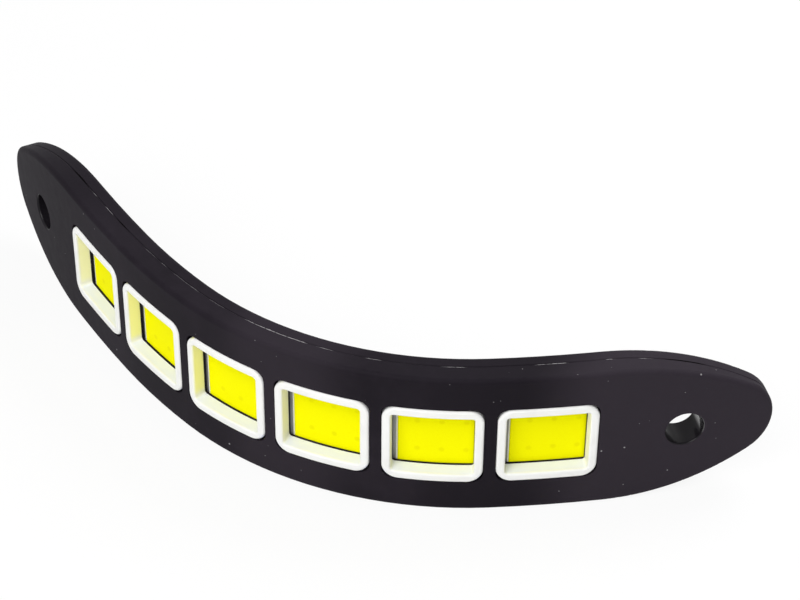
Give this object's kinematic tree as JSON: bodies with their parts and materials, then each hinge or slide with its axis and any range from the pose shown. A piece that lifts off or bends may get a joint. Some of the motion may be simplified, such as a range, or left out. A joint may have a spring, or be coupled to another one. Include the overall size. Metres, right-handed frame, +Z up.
{
  "type": "daytime running light",
  "caption": "Flexible silicone daytime running light strip, bent, with reflector windows over chip-on-board light fields and a screw hole in each tapered end.",
  "frame": {"origin": "middle of the box the bent lamp fills, on the surface its lower long edge stands on", "axes": "+X along the bent lamp from its left end to its right end as seen from the lit side, -Y out of the middle of the lit side, +Z up across the strip's height"},
  "size_m": [0.1796, 0.0535, 0.034],
  "materials": {
    "black_silicone": "matte",
    "white_plastic": "satin",
    "dam_resin": "satin",
    "phosphor": "satin",
    "board_metal": "satin",
    "die": "gloss",
    "soft_aluminium": "satin",
    "bond_tape": "matte",
    "red_insulation": "satin",
    "black_insulation": "satin",
    "solder": "satin"
  },
  "bodies": {
    "root": {"back_cover": "black_silicone", "bend_strip": "soft_aluminium", "bond_pad_1": "bond_tape", "bond_pad_2": "bond_tape", "bond_pad_3": "bond_tape", "bond_pad_4": "bond_tape", "bond_pad_5": "bond_tape", "bond_pad_6": "bond_tape", "front_shell": "black_silicone", "led_board_1": "board_metal", "led_board_2": "board_metal", "led_board_3": "board_metal", "led_board_4": "board_metal", "led_board_5": "board_metal", "led_board_6": "board_metal", "led_dies_1": "die", "led_dies_2": "die", "led_dies_3": "die", "led_dies_4": "die", "led_dies_5": "die", "led_dies_6": "die", "negative_lead": "black_insulation", "phosphor_1": "phosphor", "phosphor_2": "phosphor", "phosphor_3": "phosphor", "phosphor_4": "phosphor", "phosphor_5": "phosphor", "phosphor_6": "phosphor", "phosphor_dam_1": "dam_resin", "phosphor_dam_2": "dam_resin", "phosphor_dam_3": "dam_resin", "phosphor_dam_4": "dam_resin", "phosphor_dam_5": "dam_resin", "phosphor_dam_6": "dam_resin", "positive_lead": "red_insulation", "reflector_1": "white_plastic", "reflector_2": "white_plastic", "reflector_3": "white_plastic", "reflector_4": "white_plastic", "reflector_5": "white_plastic", "reflector_6": "white_plastic", "solder_joints": "solder"}
  },
  "joints": []
}
